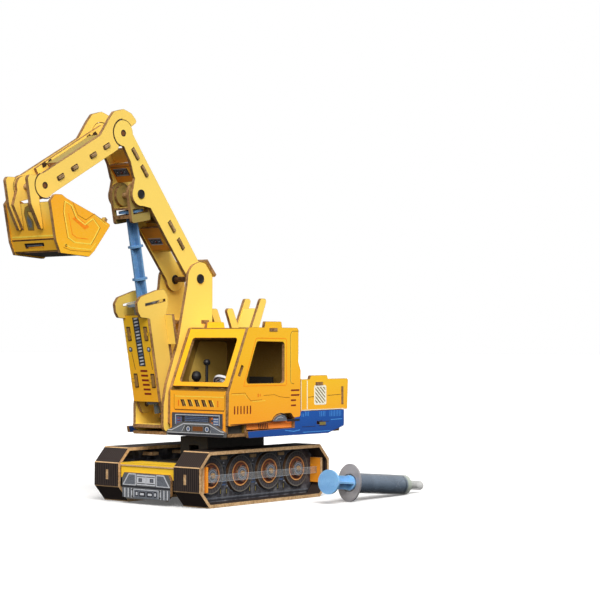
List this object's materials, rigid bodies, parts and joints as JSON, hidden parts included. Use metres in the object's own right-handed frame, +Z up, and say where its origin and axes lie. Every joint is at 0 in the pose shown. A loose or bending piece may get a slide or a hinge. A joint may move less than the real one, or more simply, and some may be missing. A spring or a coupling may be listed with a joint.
{
  "type": "hydraulic excavator kit",
  "caption": "Laser-cut board excavator kit with slewing cab, three-part arm worked by a syringe cylinder, and a loose control syringe.",
  "frame": {"origin": "centre of the whole kit's bounding box at ground level, control syringe included", "axes": "+X forward towards the bucket, +Y to the machine's left where the cab is, +Z up"},
  "size_m": [0.326, 0.17, 0.2853],
  "materials": {
    "track_board": "printed dark ribbed board with bare cut edges",
    "grey_print_board": "printed mechanical grey board",
    "wheel_board": "printed wheel discs",
    "dark_board": "printed dark grey board",
    "orange_board": "printed orange board",
    "yellow_board": "printed pale yellow board",
    "cab_board": "printed orange-yellow board",
    "blue_board": "printed blue board",
    "white_board": "printed white and navy board",
    "black_part": "matte black",
    "dowel_wood": "bare round dowel",
    "clear_band": "clear elastic band",
    "clear_barrel": "translucent moulded plastic",
    "clear_hose": "clear soft tube",
    "blue_plastic": "blue moulded plastic",
    "light_blue_plastic": "light blue moulded plastic",
    "seal_rubber": "black rubber"
  },
  "bodies": {
    "undercarriage": {"left_track_boards": "track_board", "right_track_boards": "track_board", "track_webs": "grey_print_board", "road_wheels": "wheel_board", "wheel_dowels": "dowel_wood", "band_stubs": "orange_board", "clear_bands": "clear_band", "chassis_decks": "dark_board", "chassis_beams": "orange_board", "bumper_panel": "grey_print_board", "pedestal_boards": "dark_board", "slew_pivot": "dark_board", "control_barrel": "clear_barrel", "hose_stub": "clear_hose"},
    "house": {"house_floor": "dark_board", "slew_washer": "dark_board", "tower_plates": "yellow_board", "tower_cross_boards": "yellow_board", "tower_cap_board": "yellow_board", "house_pins": "dowel_wood", "cab_sides": "cab_board", "windshield_frame": "cab_board", "cab_front_panel": "cab_board", "grille_and_bumper": "grey_print_board", "cab_roof": "cab_board", "cab_rear_panel": "cab_board", "cab_seat": "dark_board", "dash_board": "yellow_board", "cab_lever": "black_part", "base_sides": "blue_board", "rear_sides": "cab_board", "rear_boards": "cab_board", "cradle": "yellow_board"},
    "steering_wheel": {"steering_wheel": "white_board"},
    "boom": {"boom_plates": "yellow_board", "boom_cross_boards": "yellow_board", "boom_braces": "orange_board", "boom_pins": "dowel_wood"},
    "clevis": {"clevis_cheeks": "yellow_board", "clevis_boards": "yellow_board"},
    "stick": {"stick_outer_plates": "yellow_board", "stick_inner_plates": "yellow_board", "stick_cross_boards": "yellow_board", "stick_bottom_boards": "orange_board", "bucket_pin": "dowel_wood"},
    "bucket": {"bucket_sides": "orange_board", "bucket_back": "yellow_board", "bucket_floor": "dark_board", "bucket_forks": "yellow_board", "bucket_ears": "yellow_board"},
    "cylinder": {"housing_sides": "yellow_board", "housing_front_plate": "cab_board", "housing_rear_plate": "cab_board", "barrel_saddles": "yellow_board", "arm_barrel": "clear_barrel"},
    "arm_plunger": {"arm_plunger": "blue_plastic", "arm_seal": "seal_rubber"},
    "control_plunger": {"control_plunger": "light_blue_plastic", "control_seal": "seal_rubber"}
  },
  "joints": [
    {"name": "house_slew", "type": "hinge", "parent": "undercarriage", "child": "house", "pos_m": [-0.03185, -0.02273, 0.049], "axis": [0, 0, 1], "continuous": true},
    {"name": "steering_wheel_turn", "type": "hinge", "parent": "house", "child": "steering_wheel", "pos_m": [0.00181, 0.01027, 0.08721], "axis": [-0.6606, 0, 0.7507], "continuous": true},
    {"name": "boom_lift", "type": "hinge", "parent": "house", "child": "boom", "pos_m": [-0.00435, -0.03673, 0.1655], "axis": [0, -1, 0], "range_deg": [-30, 5]},
    {"name": "clevis_swing", "type": "hinge", "parent": "boom", "child": "clevis", "pos_m": [0.05535, -0.03673, 0.2253], "axis": [0, -1, 0], "range_deg": [-4, 18]},
    {"name": "stick_fold", "type": "hinge", "parent": "boom", "child": "stick", "pos_m": [0.07325, -0.03673, 0.268], "axis": [0, -1, 0], "range_deg": [-12, 35]},
    {"name": "bucket_curl", "type": "hinge", "parent": "stick", "child": "bucket", "pos_m": [0.14755, -0.03673, 0.2251], "axis": [0, -1, 0], "range_deg": [-40, 30]},
    {"name": "cylinder_tilt", "type": "hinge", "parent": "house", "child": "cylinder", "pos_m": [0.02565, -0.03673, 0.072], "axis": [0, -1, 0], "range_deg": [-14, 3]},
    {"name": "arm_plunger_slide", "type": "slide", "parent": "cylinder", "child": "arm_plunger", "axis": [0.1902, 0, 0.9817], "range_m": [-0.03, 0.006]},
    {"name": "control_plunger_slide", "type": "slide", "parent": "undercarriage", "child": "control_plunger", "axis": [0.9939, 0.0667, 0.0875], "range_m": [-0.006, 0.03]}
  ],
  "couplings": [
    {"joint": "clevis_swing", "follows": "boom_lift", "ratio": -0.56},
    {"joint": "cylinder_tilt", "follows": "boom_lift", "ratio": 0.44},
    {"joint": "arm_plunger_slide", "follows": "boom_lift", "m_per_rad": 0.0549},
    {"joint": "control_plunger_slide", "follows": "boom_lift", "m_per_rad": -0.0549}
  ]
}
